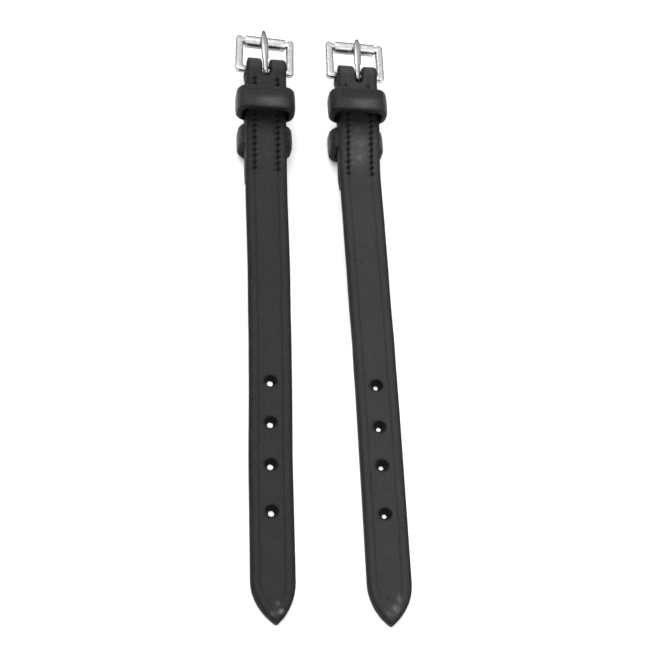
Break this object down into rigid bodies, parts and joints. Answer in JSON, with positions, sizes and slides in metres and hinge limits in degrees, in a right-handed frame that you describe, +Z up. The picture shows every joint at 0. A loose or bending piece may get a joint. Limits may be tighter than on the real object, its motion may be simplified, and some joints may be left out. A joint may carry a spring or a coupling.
{
  "type": "pair of spur straps",
  "caption": "Pair of black leather spur straps with pointed punched ends, steel roller buckles and two sewn keepers on each.",
  "frame": {"origin": "centre of the pair's footprint, on the surface that the straps lie on", "axes": "+X from the left strap to the right one, +Y from the pointed ends towards the buckles, +Z up, out of the grain side"},
  "size_m": [0.0558, 0.2026, 0.0186],
  "materials": {
    "strap_leather": "black bridle leather, semi-matt grain side, burnished edges",
    "keeper_leather": "black leather, slightly glossier on the bends",
    "thread": "waxed black thread",
    "steel": "polished stainless steel with soft wear"
  },
  "bodies": {
    "left_strap": {"left_strap": "strap_leather", "left_front_keeper": "keeper_leather", "left_rear_keeper": "keeper_leather", "left_outer_stitches": "thread", "left_inner_stitches": "thread"},
    "left_buckle": {"left_buckle_frame": "steel"},
    "left_roller": {"left_buckle_roller": "steel"},
    "left_tongue": {"left_buckle_tongue": "steel"},
    "right_strap": {"right_strap": "strap_leather", "right_front_keeper": "keeper_leather", "right_rear_keeper": "keeper_leather", "right_outer_stitches": "thread", "right_inner_stitches": "thread"},
    "right_buckle": {"right_buckle_frame": "steel"},
    "right_roller": {"right_buckle_roller": "steel"},
    "right_tongue": {"right_buckle_tongue": "steel"}
  },
  "joints": [
    {"name": "right_strap_lift", "type": "slide", "parent": "left_strap", "child": "right_strap", "axis": [0, 0, 1], "range_m": [0, 0.05]},
    {"name": "left_buckle_swing", "type": "hinge", "parent": "left_strap", "child": "left_buckle", "pos_m": [-0.01818, 0.08511, 0.0093], "axis": [0.9999, -0.011, 0], "range_deg": [-32, 20]},
    {"name": "left_tongue_swing", "type": "hinge", "parent": "left_buckle", "child": "left_tongue", "pos_m": [-0.01818, 0.08511, 0.0093], "axis": [0.9999, -0.011, 0], "range_deg": [0, 70]},
    {"name": "left_roller_spin", "type": "hinge", "parent": "left_buckle", "child": "left_roller", "pos_m": [-0.01805, 0.09708, 0.00846], "axis": [0.9999, -0.011, 0], "continuous": true},
    {"name": "right_buckle_swing", "type": "hinge", "parent": "right_strap", "child": "right_buckle", "pos_m": [0.01152, 0.08671, 0.0093], "axis": [0.9997, 0.0253, 0], "range_deg": [-32, 20]},
    {"name": "right_tongue_swing", "type": "hinge", "parent": "right_buckle", "child": "right_tongue", "pos_m": [0.01152, 0.08671, 0.0093], "axis": [0.9997, 0.0253, 0], "range_deg": [0, 70]},
    {"name": "right_roller_spin", "type": "hinge", "parent": "right_buckle", "child": "right_roller", "pos_m": [0.01122, 0.09869, 0.00867], "axis": [0.9997, 0.0253, 0], "continuous": true}
  ]
}
